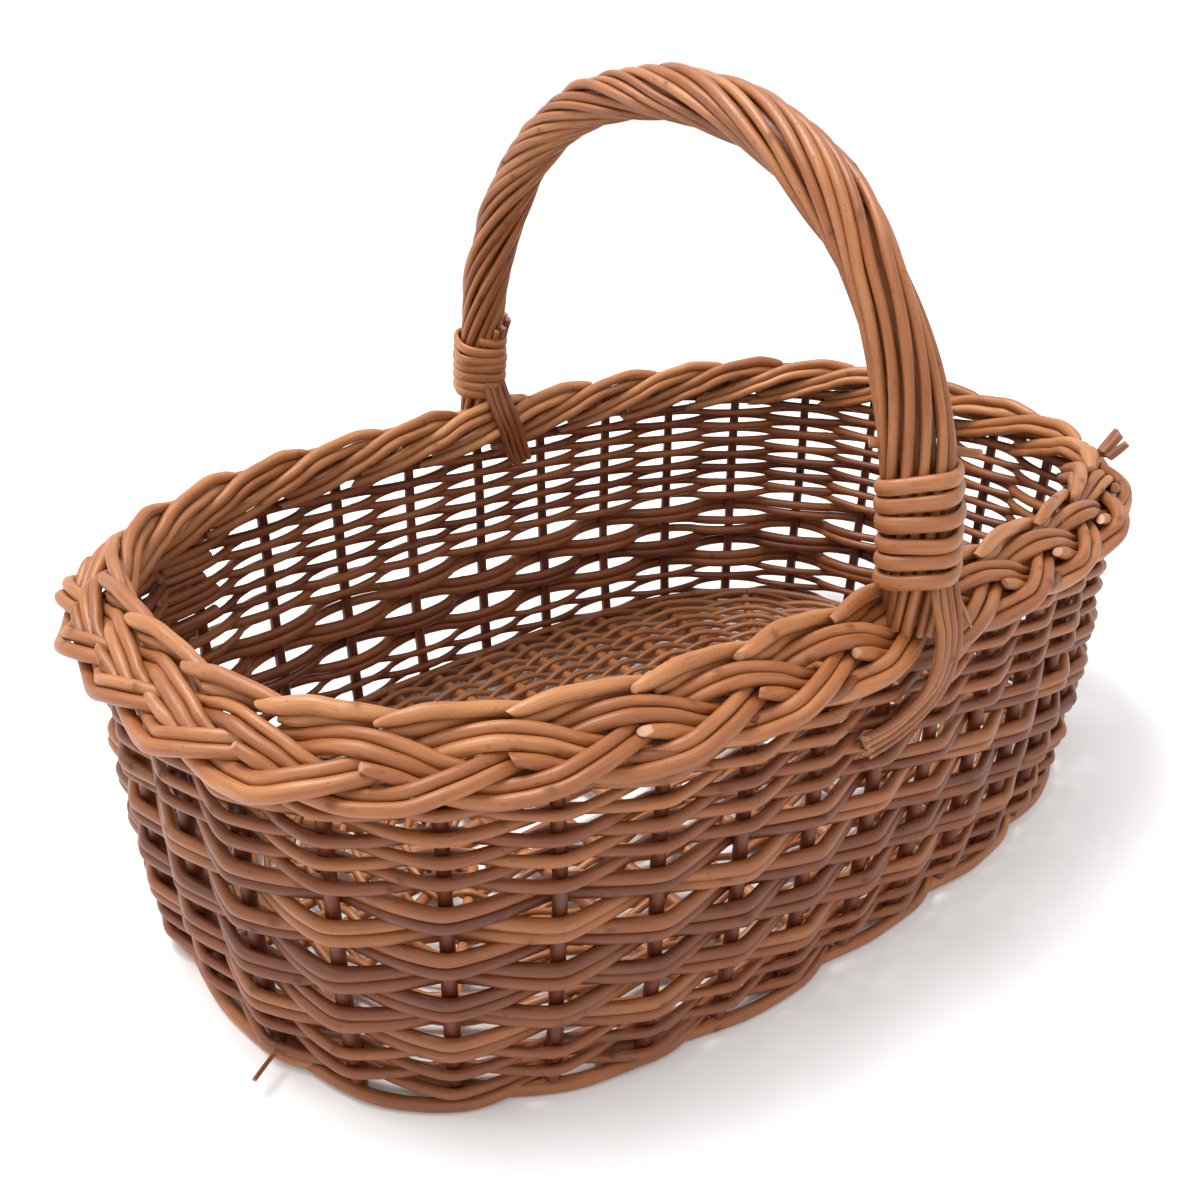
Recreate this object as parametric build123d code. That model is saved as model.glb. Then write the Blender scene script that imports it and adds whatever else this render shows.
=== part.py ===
"""A willow egg collection basket: woven wall on upright stakes, plaited border, roped handle. Millimetres.

The origin is on the ground under the middle of the basket. X runs along the basket, -Y is the front wall.
Every piece is a willow rod of its own. Rods pass each other with a small clearance, as a dry weave does.
"""

from build123d import *
import math
import os

os.makedirs("parts", exist_ok=True)

# Overall outline, measured to the centre line of the upright stakes
stake_ring_half_length = 198.6
stake_ring_half_width = 129.0
outline_exponent = 2.88

# Stakes
stake_count = 33
stake_radius = 2.3
stake_phase = 0.3
front_crowding = 0.14
stake_foot_z = 5.0
last_back_stake = 11
last_front_stake = 29

# Clearance between two rods that lie on each other
rod_clearance = 0.15
stake_clearance = 0.25

# Foot border
foot_rod_radius = 2.6
foot_flat_depth = 0.5
foot_rod_count = 16
foot_rod_overlap = 0.28

# Upsett wale, the close rows just above the foot
wale_rod_radius = 1.8
wale_first_z = 8.2
wale_row_pitch = 4.4
wale_rows = 4

# Lower slew, woven with two rods at a time
slew_rod_radius = 1.95
slew_front_rows = 7
slew_back_rows = 4
slew_first_z = 28.2
slew_front_pitch = 8.3
slew_back_pitch = 9.3

# Upper randing, woven with single rods
rand_rod_radius = 1.6
rand_least_pitch = 3.6
rand_rows_per_node = 3
rand_gap_over_slew = 4.1
rand_top_z = 112.9

# Plaited border
border_beyond_end_stakes = 5.7
border_inside_side_stakes = 3.6
border_centre_z = 125.8
border_tilt = 38.0
border_rod_radius = 2.0
plait_reach = 9.2
plait_crossing_room = 1.34
plait_steps = 12
strand_count = 3
strand_end_gap = 1.2

# Base
base_mid_z = 6.9
long_stick_radius = 1.8
long_stick_spacing = 6.0
long_stick_count = 3
cross_stick_radius = 2.9
cross_stick_spacing = 25.0
cross_stick_count = 7
stick_hole_clearance = 0.1
fan_hub_x = 85.0
fan_first_radius = 48.0
fan_angles = (25.0, 50.0, 75.0)
base_rod_radius = 1.4
base_weave_pitch = 8.0
base_weave_inset = 4.5
base_weave_ease = 0.3
base_weave_rounds = 11
base_weave_nodes = 3
base_weave_bend = 10.0
ring_end_gap = 0.6

# Handle
handle_outside_border = 1.6
handle_apex_z = 274.0
handle_exponent = 2.26
handle_spring_z = 127.0
handle_middle_x = 3.8
handle_skew = 3.94
bow_radius = 5.0
bow_stations = 40
rope_rod_radius = 1.65
rope_rod_count = 11
rope_turns = 2.4
rope_stations = 60
rope_clearance = 0.45

# Lashings that bind the handle's feet
lashing_rod_radius = 2.1
lashing_turns = 7
lashing_pitch = 4.6
lashing_first_rise = 5.0
lashing_steps = 12

# Rod ends that run from the lashings over the border
tail_rod_radius = 2.0
tail_count = 5
tail_spacing = 4.25
tail_end_z = 92.0
tail_drift = -6.6

border_half_length = stake_ring_half_length + border_beyond_end_stakes
border_half_width = stake_ring_half_width - border_inside_side_stakes
handle_half_span = border_half_width + handle_outside_border


def unit(x, y, z=0.0):
    length = math.sqrt(x * x + y * y + z * z)
    return Vector(x / length, y / length, z / length)


def superellipse(half_length, half_width, angle):
    """Point on the basket's plan outline, at an angle in radians."""
    power = 2.0 / outline_exponent
    c = math.cos(angle)
    s = math.sin(angle)
    x = half_length * math.copysign(abs(c) ** power, c)
    y = half_width * math.copysign(abs(s) ** power, s)
    return Vector(x, y, 0)


def build_angle_table(samples=7200):
    """Outline angle against the share of the way round, counted from the right end."""
    angles = [2 * math.pi * i / samples for i in range(samples + 1)]
    points = [superellipse(stake_ring_half_length, stake_ring_half_width, a) for a in angles]
    run = [0.0]
    for first, second in zip(points, points[1:]):
        run.append(run[-1] + (second - first).length)
    return angles, [r / run[-1] for r in run], run[-1]


outline_angles, outline_shares, outline_length = build_angle_table()
stake_spacing = outline_length / stake_count


def outline_angle(place):
    """Outline angle of a place counted in stakes; stakes stand closer together along the front."""
    turn = place / stake_count
    share = turn + front_crowding / (2 * math.pi) * (1 - math.cos(2 * math.pi * turn))
    whole = math.floor(share)
    share -= whole
    low = 0
    high = len(outline_shares) - 1
    while high - low > 1:
        middle = (low + high) // 2
        if outline_shares[middle] <= share:
            low = middle
        else:
            high = middle
    part = (share - outline_shares[low]) / (outline_shares[high] - outline_shares[low])
    step = outline_angles[high] - outline_angles[low]
    return outline_angles[low] + part * step + 2 * math.pi * whole


def outline_frame(half_length, half_width, place):
    """Point on an outline, the outward direction there and the direction of travel, at a place in stakes."""
    point = superellipse(half_length, half_width, outline_angle(place))
    before = superellipse(half_length, half_width, outline_angle(place - 0.05))
    after = superellipse(half_length, half_width, outline_angle(place + 0.05))
    along = unit(after.X - before.X, after.Y - before.Y)
    outward = Vector(along.Y, -along.X, 0)
    return point, outward, along


def on_ring(place, offset, z):
    point, outward, _ = outline_frame(stake_ring_half_length, stake_ring_half_width, place)
    return Vector(point.X + outward.X * offset, point.Y + outward.Y * offset, z)


def bend_radii(points, largest):
    """The radius of the arc at each corner, as large as its two runs allow."""
    radii = []
    for i in range(1, len(points) - 1):
        here = points[i]
        back = points[i - 1] - here
        ahead = points[i + 1] - here
        half_turn = math.radians(180 - back.get_angle(ahead)) / 2
        reach = 0.45 * min(back.length, ahead.length)
        radii.append(min(largest, reach / math.tan(max(half_turn, 0.002))))
    return radii


def bent_path(points, largest):
    """Straight runs joined by tangent arcs."""
    edges = []
    last = points[0]
    for i, radius in enumerate(bend_radii(points, largest), start=1):
        here = points[i]
        back = (points[i - 1] - here).normalized()
        ahead = (points[i + 1] - here).normalized()
        half_turn = math.radians(180 - back.get_angle(ahead)) / 2
        if half_turn < 0.002:
            continue
        reach = radius * math.tan(half_turn)
        inward = (back + ahead).normalized()
        middle = here + inward * (radius / math.cos(half_turn) - radius)
        start = here + back * reach
        end = here + ahead * reach
        edges.append(Edge.make_line(last, start))
        edges.append(Edge.make_three_point_arc(start, middle, end))
        last = end
    edges.append(Edge.make_line(last, points[-1]))
    return Wire(edges)


def rod(points, radius, largest=30.0):
    """A round rod along a route of points."""
    path = bent_path(points, largest)
    start = Plane(origin=path @ 0, z_dir=path % 0)
    return sweep(start * Circle(radius), path=path)


def ring_rod(points, radius, largest):
    """A rod all the way round, whose cut ends face each other in the middle of its last run."""
    run = points[0] - points[-1]
    middle = points[-1] + run * 0.5
    gap = run.normalized() * (ring_end_gap / 2)
    return rod([middle + gap] + points + [middle - gap], radius, largest)


def save(name, solids):
    """Writes one node; each of its solids stays a separate piece."""
    pieces = [s for shape in solids for s in shape.solids()]
    node = Compound(label=name, children=pieces)
    export_step(node, os.path.join("parts", name + ".step"))
    print(name, len(pieces))


# The weavers are pieced at two corners: the back half carries the right end, the front half the left end
left_join = last_back_stake + 0.5 + stake_phase
right_join = last_front_stake + 0.5 + stake_phase


def stakes_between(first, last):
    return [k for k in range(-stake_count, stake_count) if first < k + stake_phase < last]


def woven_points(first, last, z, radius, parity):
    """Route of a weaver that passes outside one stake and inside the next."""
    aside = stake_radius + radius + stake_clearance
    stakes = stakes_between(first, last)
    offsets = [aside + 1.0 for _ in stakes]
    largest = 25.0
    points = []
    for _ in range(12):
        points = [on_ring(first, 0, z)]
        for k, offset in zip(stakes, offsets):
            side = 1 if (k + parity) % 2 == 0 else -1
            points.append(on_ring(k + stake_phase, side * offset, z))
        points.append(on_ring(last, 0, z))
        radii = bend_radii(points, largest)
        for i, radius_here in enumerate(radii):
            back = points[i] - points[i + 1]
            ahead = points[i + 2] - points[i + 1]
            half_turn = math.radians(180 - back.get_angle(ahead)) / 2
            cut = radius_here * (1 / math.cos(half_turn) - 1)
            k = stakes[i]
            side = 1 if (k + parity) % 2 == 0 else -1
            _, outward, _ = outline_frame(stake_ring_half_length, stake_ring_half_width, k + stake_phase)
            bends_in = (back.normalized() + ahead.normalized()).dot(outward) * side < 0
            offsets[i] = aside + cut if bends_in else aside
    return points


def weaver(first, last, z, radius, parity):
    return rod(woven_points(first, last, z, radius, parity), radius, 25.0)


join_gap = 0.06


def half_weaver(side, z, radius, parity):
    """A weaver round the front or the back half of the wall."""
    if side == "front":
        return weaver(left_join + join_gap, right_join - join_gap, z, radius, parity)
    return weaver(right_join - stake_count + join_gap, left_join - join_gap, z, radius, parity)


def build_stakes():
    groups = {"stakes_back": [], "stakes_front": [], "stakes_left": [], "stakes_right": []}
    for k in range(stake_count):
        point, _, _ = outline_frame(stake_ring_half_length, stake_ring_half_width, k + stake_phase)
        height = plait_limit(point, stake_radius, -1) - stake_foot_z
        upright = Cylinder(stake_radius, height, align=(Align.CENTER, Align.CENTER, Align.MIN))
        shape = Pos(point.X, point.Y, stake_foot_z) * upright
        if abs(point.X) > 0.86 * stake_ring_half_length:
            groups["stakes_right" if point.X > 0 else "stakes_left"].append(shape)
        else:
            groups["stakes_back" if point.Y > 0 else "stakes_front"].append(shape)
    for name, shapes in groups.items():
        save(name, shapes)


def build_wall():
    for side in ("front", "back"):
        shapes = []
        for row in range(wale_rows):
            z = wale_first_z + row * wale_row_pitch
            shapes.append(half_weaver(side, z, wale_rod_radius, row % 2))
        save("upsett_wale_" + side, shapes)
        rows = slew_front_rows if side == "front" else slew_back_rows
        pitch = slew_front_pitch if side == "front" else slew_back_pitch
        for row in range(rows):
            z = slew_first_z + row * pitch
            half = slew_rod_radius + rod_clearance / 2
            pair = [half_weaver(side, z + d, slew_rod_radius, row % 2) for d in (-half, half)]
            save("slew_%s_%d" % (side, row + 1), pair)
        first = slew_first_z + (rows - 1) * pitch + rand_gap_over_slew + slew_rod_radius + rand_rod_radius
        gaps = math.floor((rand_top_z - first) / rand_least_pitch)
        levels = [first + (rand_top_z - first) * i / gaps for i in range(gaps + 1)]
        for group in range(0, len(levels), rand_rows_per_node):
            shapes = []
            for i, z in enumerate(levels[group : group + rand_rows_per_node]):
                shapes.append(half_weaver(side, z, rand_rod_radius, (rows + group + i) % 2))
            save("randing_%s_%d" % (side, group // rand_rows_per_node + 1), shapes)


def border_point(place, sideways, lift):
    """A place in the tilted section of the plait: sideways runs outward and down, lift outward and up."""
    point, outward, _ = outline_frame(border_half_length, border_half_width, place)
    tilt = math.radians(border_tilt)
    reach = sideways * math.cos(tilt) + lift * math.sin(tilt)
    rise = -sideways * math.sin(tilt) + lift * math.cos(tilt)
    return Vector(point.X + outward.X * reach, point.Y + outward.Y * reach, border_centre_z + rise)


def rope_radius():
    return bow_radius + rope_rod_radius + rope_clearance


def plait_lift():
    """How far the strands rise and dip, so that their outer rods still clear each other where they cross."""
    spacing = 2 * border_rod_radius + rod_clearance
    early = 1.2 * spacing / (math.sqrt(3) * plait_reach)
    return (2 * border_rod_radius + plait_crossing_room) / (math.sqrt(3) * math.cos(2 * early))


def plait_line(strand, slot, place):
    """Centre of one rod of the plait; each strand has two rods side by side."""
    spacing = 2 * border_rod_radius + rod_clearance
    aside = (slot - 0.5) * spacing
    phase = 2 * math.pi * (place + strand) / strand_count
    slope = plait_reach * math.cos(phase) * 2 * math.pi / (strand_count * stake_spacing)
    sideways = plait_reach * math.sin(phase) + aside * math.sqrt(1 + slope * slope)
    return border_point(place, sideways, -plait_lift() * math.sin(2 * phase))


def plait_rod(strand, slot, start):
    """One rod of the plait, three stakes long, with a small gap to the next one in its line."""
    begin = start + strand_end_gap / (2 * stake_spacing)
    end = start + strand_count - strand_end_gap / (2 * stake_spacing)
    step = (end - begin) / plait_steps
    points = [plait_line(strand, slot, begin + step * i) for i in range(plait_steps + 1)]
    return rod(points, border_rod_radius, 40.0)


def sample_plait(step=0.08):
    """Centres of all the plait's rods, all the way round."""
    count = round(stake_count / step)
    lines = [(strand, slot) for strand in range(strand_count) for slot in range(2)]
    return [plait_line(strand, slot, stake_count * i / count) for strand, slot in lines for i in range(count)]


def plait_limit(point, radius, side):
    """How high an upright round may reach under the plait (side -1), or how low it may stand on it (1)."""
    keep = border_rod_radius + stake_clearance
    limits = []
    for centre in plait_centres:
        apart = max(0.0, math.hypot(centre.X - point.X, centre.Y - point.Y) - radius)
        if apart < keep:
            limits.append(side * centre.Z + math.sqrt(keep * keep - apart * apart))
    return side * max(limits)


plait_centres = sample_plait()


def handle_foot_z():
    """Both feet of the handle stand on the plait at one height."""
    shift = math.tan(math.radians(handle_skew)) * handle_half_span
    feet = [Vector(handle_middle_x + end * shift, end * handle_half_span, 0) for end in (-1, 1)]
    thickness = rope_radius() + rope_rod_radius
    return max(plait_limit(foot, thickness, 1) for foot in feet)


def build_border():
    for strand in range(strand_count):
        for slot in range(2):
            shapes = []
            for unit_index in range(stake_count // strand_count):
                start = strand_count * (unit_index + 0.5 * slot) - strand
                shapes.append(plait_rod(strand, slot, start))
            save("border_strand_%d_rods_%s" % (strand + 1, "ab"[slot]), shapes)


def on_base_ring(inset, angle, z):
    point = superellipse(stake_ring_half_length - inset, stake_ring_half_width - inset, angle)
    return Vector(point.X, point.Y, z)


def base_edge_inset():
    """How far inside the stakes the edge rod of the base lies, against the upsett wale."""
    return stake_radius + 2 * wale_rod_radius + 2 * stake_clearance + base_rod_radius


def base_stick_end(x, y, direction_x, direction_y, radius):
    """Where a stick that runs outward from a point stops, with both its flanks clear of the edge rod."""
    flanks = [(x - direction_y * aside, y + direction_x * aside) for aside in (-radius, 0, radius)]
    reach = min(edge_distance(px, py, direction_x, direction_y) for px, py in flanks)
    return Vector(x + direction_x * reach, y + direction_y * reach, base_mid_z)


def edge_distance(x, y, direction_x, direction_y):
    """How far it is from a point to the inside of the edge rod."""
    inset = base_edge_inset() + base_rod_radius + rod_clearance
    a = stake_ring_half_length - inset
    b = stake_ring_half_width - inset
    low = 0.0
    high = 2 * a
    for _ in range(50):
        middle = (low + high) / 2
        px = abs(x + direction_x * middle) / a
        py = abs(y + direction_y * middle) / b
        if px ** outline_exponent + py ** outline_exponent < 1:
            low = middle
        else:
            high = middle
    return low


def straight_rod(start, end, radius):
    return sweep(Plane(origin=start, z_dir=end - start) * Circle(radius), path=Edge.make_line(start, end))


def base_lines():
    """Every stick that the base weave crosses, as its start, its end and its radius."""
    lines = []
    for i in range(cross_stick_count):
        x = (i - (cross_stick_count - 1) / 2) * cross_stick_spacing
        for side in (-1, 1):
            stop = base_stick_end(x, 0, 0, side, cross_stick_radius)
            lines.append((Vector(x, 0, base_mid_z), stop, cross_stick_radius))
    for end in (-1, 1):
        hub = Vector(end * fan_hub_x, 0, base_mid_z)
        lines.append((hub, base_stick_end(hub.X, 0, end, 0, long_stick_radius), long_stick_radius))
        for fan in fan_angles:
            for side in (-1, 1):
                dx = end * math.cos(math.radians(fan))
                dy = side * math.sin(math.radians(fan))
                start = hub + Vector(dx, dy, 0) * fan_first_radius
                stop = base_stick_end(hub.X, 0, dx, dy, cross_stick_radius)
                lines.append((start, stop, cross_stick_radius))
    return lines


def ring_crossings(inset, samples=1440):
    """Outline angles at which a base ring crosses the sticks, in order."""
    found = []
    for start, end, _ in base_lines():
        run = end - start
        length = run.length
        run = run.normalized()
        previous = None
        for i in range(samples + 1):
            angle = 2 * math.pi * (i + 0.37) / samples
            here = on_base_ring(inset, angle, base_mid_z) - start
            side = run.X * here.Y - run.Y * here.X
            reach = run.dot(here)
            if previous is not None and previous[0] * side <= 0 and 0 < reach < length + 1:
                share = previous[0] / (previous[0] - side)
                found.append(previous[1] + share * (angle - previous[1]))
            previous = (side, angle)
    return sorted(a % (2 * math.pi) for a in found)


def base_round_inset(index):
    return base_edge_inset() + base_weave_inset + base_weave_pitch * index


def base_round(index):
    """One round of the base weave, over one stick and under the next; the long sticks count as one."""
    inset = base_round_inset(index)
    rise = cross_stick_radius + base_rod_radius + rod_clearance + base_weave_ease
    bundle = long_stick_spacing * (long_stick_count - 1) / 2 + long_stick_radius
    points = []
    for i, angle in enumerate(ring_crossings(inset)):
        up = 1 if (i + index) % 2 == 0 else -1
        middle = on_base_ring(inset, angle, base_mid_z + up * rise)
        ahead = (on_base_ring(inset, angle + 0.01, middle.Z) - middle).normalized()
        at_bundle = abs(middle.Y) < bundle
        hold = (bundle if at_bundle else cross_stick_radius) + base_weave_ease
        points.append(middle - ahead * hold)
        points.append(middle + ahead * hold)
    return ring_rod(points, base_rod_radius, base_weave_bend)


def build_base():
    hole = long_stick_radius + stick_hole_clearance
    long_sticks = []
    bores = []
    for i in range(long_stick_count):
        y = (i - (long_stick_count - 1) / 2) * long_stick_spacing
        first = base_stick_end(0, y, -1, 0, long_stick_radius)
        last = base_stick_end(0, y, 1, 0, long_stick_radius)
        long_sticks.append(straight_rod(first, last, long_stick_radius))
        bores.append(straight_rod(first, last, hole))
    save("base_long_sticks", long_sticks)
    cross_sticks = []
    for i in range(cross_stick_count):
        x = (i - (cross_stick_count - 1) / 2) * cross_stick_spacing
        ends = [base_stick_end(x, 0, 0, side, cross_stick_radius) for side in (-1, 1)]
        stick = straight_rod(ends[0], ends[1], cross_stick_radius)
        for bore in bores:
            stick = stick - bore
        cross_sticks.append(stick)
    save("base_cross_sticks", cross_sticks)
    for end, name in ((-1, "left"), (1, "right")):
        fans = []
        for start, stop, radius in base_lines():
            if start.Y != 0 and start.X * end > 0:
                fans.append(straight_rod(start, stop, radius))
        save("base_fan_sticks_" + name, fans)
    room = stake_ring_half_length - base_round_inset(0) - cross_stick_spacing * (cross_stick_count + 1) / 2
    fitting = min(base_weave_rounds, math.floor(room / base_weave_pitch) + 1)
    share = math.ceil(fitting / base_weave_nodes)
    for group in range(0, fitting, share):
        rounds = [base_round(i) for i in range(group, min(group + share, fitting))]
        save("base_weave_%d" % (group // share + 1), rounds)
    places = [stake_count * i / 48 for i in range(48)]
    edge = [on_ring(place, -base_edge_inset(), wale_first_z) for place in places]
    save("base_edge_rod", [ring_rod(edge, base_rod_radius, 60.0)])


def build_foot_border():
    """Overlapping rods under the stakes, shaved flat where the basket stands."""
    length = stake_count / foot_rod_count
    aside = foot_rod_radius + rod_clearance + 0.15
    z = foot_rod_radius - foot_flat_depth
    ground = Pos(0, 0, -5) * Box(600, 400, 10)
    groups = {"front": [], "back": []}
    for i in range(foot_rod_count):
        start = i * length
        stations = [
            (start - foot_rod_overlap, -aside),
            (start + 0.38, -aside),
            (start + length / 2, 0.0),
            (start + length - 0.38, aside),
            (start + length + foot_rod_overlap, aside),
        ]
        points = [on_ring(place, offset, z) for place, offset in stations]
        shape = rod(points, foot_rod_radius, 40.0) - ground
        middle = on_ring(start + length / 2, 0, z)
        groups["back" if middle.Y > 0 else "front"].append(shape)
    for side, shapes in groups.items():
        save("foot_border_" + side, shapes)


def handle_frame(angle):
    """Centre, direction, in-plane normal and side direction of the handle, at an angle from the near foot."""
    def centre(a):
        power = 2.0 / handle_exponent
        y = -handle_half_span * math.copysign(abs(math.cos(a)) ** power, math.cos(a))
        z = handle_spring_z + (handle_apex_z - handle_spring_z) * abs(math.sin(a)) ** power
        x = handle_middle_x + math.tan(math.radians(handle_skew)) * y
        return Vector(x, y, z)

    along = (centre(angle + 0.002) - centre(angle - 0.002)).normalized()
    side = Vector(math.cos(math.radians(handle_skew)), -math.sin(math.radians(handle_skew)), 0)
    normal = side.cross(along).normalized()
    return centre(angle), along, normal, side


def handle_angles(count=400):
    """Angles of stations evenly spaced along the handle from foot to foot."""
    power = handle_exponent / 2.0
    foot_share = (handle_foot_z() - handle_spring_z) / (handle_apex_z - handle_spring_z)
    first = math.asin(foot_share ** power)
    steps = [first + (math.pi - 2 * first) * i / count for i in range(count + 1)]
    run = [0.0]
    for a, b in zip(steps, steps[1:]):
        run.append(run[-1] + (handle_frame(b)[0] - handle_frame(a)[0]).length)
    return steps, run


handle_steps, handle_run = handle_angles()


def handle_at(distance):
    """Frame of the handle at a distance along it from the near foot."""
    for i in range(len(handle_run) - 1):
        if handle_run[i + 1] >= distance:
            part = (distance - handle_run[i]) / (handle_run[i + 1] - handle_run[i])
            return handle_frame(handle_steps[i] + part * (handle_steps[i + 1] - handle_steps[i]))
    return handle_frame(handle_steps[-1])


def around_handle(distance, radius, turn):
    centre, _, normal, side = handle_at(distance)
    return centre + normal * (radius * math.cos(turn)) + side * (radius * math.sin(turn))


def build_handle():
    length = handle_run[-1]
    centre_line = [handle_at(length * i / bow_stations)[0] for i in range(bow_stations + 1)]
    save("handle_bow", [rod(centre_line, bow_radius, 200.0)])
    groups = [[], [], [], []]
    for k in range(rope_rod_count):
        points = []
        for i in range(rope_stations + 1):
            share = i / rope_stations
            turn = 2 * math.pi * (k / rope_rod_count + rope_turns * share)
            points.append(around_handle(length * share, rope_radius(), turn))
        groups[k % 4].append(rod(points, rope_rod_radius, 60.0))
    for i, shapes in enumerate(groups):
        save("handle_rope_%d" % (i + 1), shapes)


def lashing(start, direction):
    """A rod wound round a foot of the handle."""
    sagitta_share = 1 / math.cos(math.pi / lashing_steps)
    outer = rope_radius() + rope_rod_radius + rod_clearance
    radius = (outer + lashing_rod_radius) * sagitta_share
    points = []
    for i in range(lashing_turns * lashing_steps + 1):
        turns = i / lashing_steps
        points.append(around_handle(start + direction * turns * lashing_pitch, radius, 2 * math.pi * turns))
    return rod(points, lashing_rod_radius, 40.0)


def tail(side, index):
    """A rod end from a lashing over the border: outside at the near foot, inside at the far foot."""
    aside = (index - (tail_count - 1) / 2) * tail_spacing
    foot = handle_at(0 if side < 0 else handle_run[-1])[0]
    top = foot.Z + lashing_first_rise - lashing_rod_radius - 0.5
    if side < 0:
        route = [(14.2, top), (14.2, 130.0), (13.6, 117.0), (12.8, 105.0), (12.8, tail_end_z)]
    else:
        route = [(-12.4, top), (-14.6, 134.0), (-12.4, 122.0), (-6.9, 110.0), (-6.6, tail_end_z)]
    points = []
    for outward, z in route:
        drift = tail_drift * max(0.0, (top - z) / (top - tail_end_z)) ** 2
        x = foot.X + aside + drift
        y = side * (border_half_width + outward)
        points.append(Vector(x, y, z))
    return rod(points, tail_rod_radius, 40.0)


def build_lashings():
    save("lashing_near", [lashing(lashing_first_rise, 1)])
    save("lashing_far", [lashing(handle_run[-1] - lashing_first_rise, -1)])
    save("tail_rods_near", [tail(-1, i) for i in range(tail_count)])
    save("tail_rods_far", [tail(1, i) for i in range(tail_count)])


if __name__ == "__main__":
    build_base()
    build_foot_border()
    build_stakes()
    build_wall()
    build_border()
    build_handle()
    build_lashings()
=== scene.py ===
"""Looks of the willow egg basket: the CAD's rods give way to willow rods with taper, bends, bud scars and cut ends."""

import math

import bmesh
import bpy
import numpy as np
from mathutils import Matrix, Vector


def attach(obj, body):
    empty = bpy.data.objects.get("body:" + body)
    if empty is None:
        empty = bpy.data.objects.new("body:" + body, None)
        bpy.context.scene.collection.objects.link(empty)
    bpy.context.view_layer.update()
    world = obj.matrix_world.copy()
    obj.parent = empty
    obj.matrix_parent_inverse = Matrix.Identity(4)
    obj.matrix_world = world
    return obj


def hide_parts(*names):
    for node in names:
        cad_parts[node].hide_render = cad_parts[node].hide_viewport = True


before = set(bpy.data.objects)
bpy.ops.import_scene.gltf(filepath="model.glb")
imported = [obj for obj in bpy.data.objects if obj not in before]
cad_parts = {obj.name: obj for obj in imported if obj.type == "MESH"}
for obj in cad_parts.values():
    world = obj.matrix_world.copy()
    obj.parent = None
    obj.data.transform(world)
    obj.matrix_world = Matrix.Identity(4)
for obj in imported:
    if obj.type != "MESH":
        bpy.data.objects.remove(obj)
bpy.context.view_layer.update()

MM = 0.001
rng = np.random.default_rng(11)

# Plan outline of the stakes and the border. The outline is a superellipse, and places on it are counted in stakes.
STAKE_HALF_LENGTH = 198.6 * MM
STAKE_HALF_WIDTH = 129.0 * MM
OUTLINE_EXPONENT = 2.88
STAKE_COUNT = 33
STAKE_PHASE = 0.3
FRONT_CROWDING = 0.14
STAKE_RADIUS = 2.35 * MM
LEFT_JOIN = 11.5 + STAKE_PHASE        # where front and back weavers meet, at the basket's two ends
RIGHT_JOIN = 29.5 + STAKE_PHASE
BORDER_HALF_LENGTH = 204.3 * MM
BORDER_HALF_WIDTH = 125.4 * MM
BORDER_Z = 125.8 * MM
BORDER_TILT = math.radians(38)
BORDER_UNITS = 30


# ---------------------------------------------------------------- outline

def superellipse(half_length, half_width, angle):
    power = 2.0 / OUTLINE_EXPONENT
    c = np.cos(angle)
    s = np.sin(angle)
    x = half_length * np.sign(c) * np.abs(c) ** power
    y = half_width * np.sign(s) * np.abs(s) ** power
    return np.stack([x, y], -1)


_table_angles = np.linspace(0, 2 * math.pi, 20001)
_table_points = superellipse(STAKE_HALF_LENGTH, STAKE_HALF_WIDTH, _table_angles)
_table_run = np.concatenate([[0], np.cumsum(np.linalg.norm(np.diff(_table_points, axis=0), axis=1))])
OUTLINE_LENGTH = _table_run[-1]
_table_run = _table_run / OUTLINE_LENGTH


def share_angle(share):
    """Outline angle at a share of the way round."""
    whole = np.floor(share)
    return np.interp(share - whole, _table_run, _table_angles) + 2 * math.pi * whole


def stake_share(place):
    """Share of the way round of a place counted in stakes, which crowd together along the front."""
    turn = np.asarray(place, float) / STAKE_COUNT
    return turn + FRONT_CROWDING / (2 * math.pi) * (1 - np.cos(2 * math.pi * turn))


def outline(half_length, half_width, share):
    """Points of an outline and its outward directions, at shares of the way round."""
    share = np.asarray(share, float)
    small = 0.0012
    point = superellipse(half_length, half_width, share_angle(share))
    ahead = superellipse(half_length, half_width, share_angle(share + small))
    behind = superellipse(half_length, half_width, share_angle(share - small))
    along = ahead - behind
    along /= np.linalg.norm(along, axis=-1, keepdims=True)
    outward = np.stack([along[..., 1], -along[..., 0]], -1)
    return point, outward


def wall_tuck(z):
    """How far the wall draws in towards its foot."""
    rise = np.clip(np.asarray(z, float) / (118 * MM), 0, 1)
    return -5.5 * MM * (1 - rise) ** 3


def on_wall(place, offset, z):
    """Points on the wall, at an offset outward from the stakes' centre line."""
    point, outward = outline(STAKE_HALF_LENGTH, STAKE_HALF_WIDTH, stake_share(place))
    offset = np.asarray(offset, float) + wall_tuck(z)
    flat = point + outward * np.broadcast_to(offset, point.shape[:-1])[..., None]
    return np.concatenate([flat, np.broadcast_to(z, flat.shape[:-1])[..., None]], -1)


# ---------------------------------------------------------------- rods

def smooth_noise(count, knots, size):
    """A gentle random curve through a number of knots."""
    knots = max(int(knots), 4)
    values = rng.normal(0, size, knots)
    at = np.linspace(0, knots - 1, count)
    low = np.clip(at.astype(int), 0, knots - 2)
    part = at - low
    part = part * part * (3 - 2 * part)
    return values[low] * (1 - part) + values[low + 1] * part


def resample(points, step):
    """Evenly spaced points along the line that joins the given points."""
    points = np.asarray(points, float)
    run = np.concatenate([[0], np.cumsum(np.linalg.norm(np.diff(points, axis=0), axis=1))])
    count = max(int(run[-1] / step) + 1, 4)
    at = np.linspace(0, run[-1], count)
    return np.stack([np.interp(at, run, points[:, i]) for i in range(3)], 1)


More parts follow.
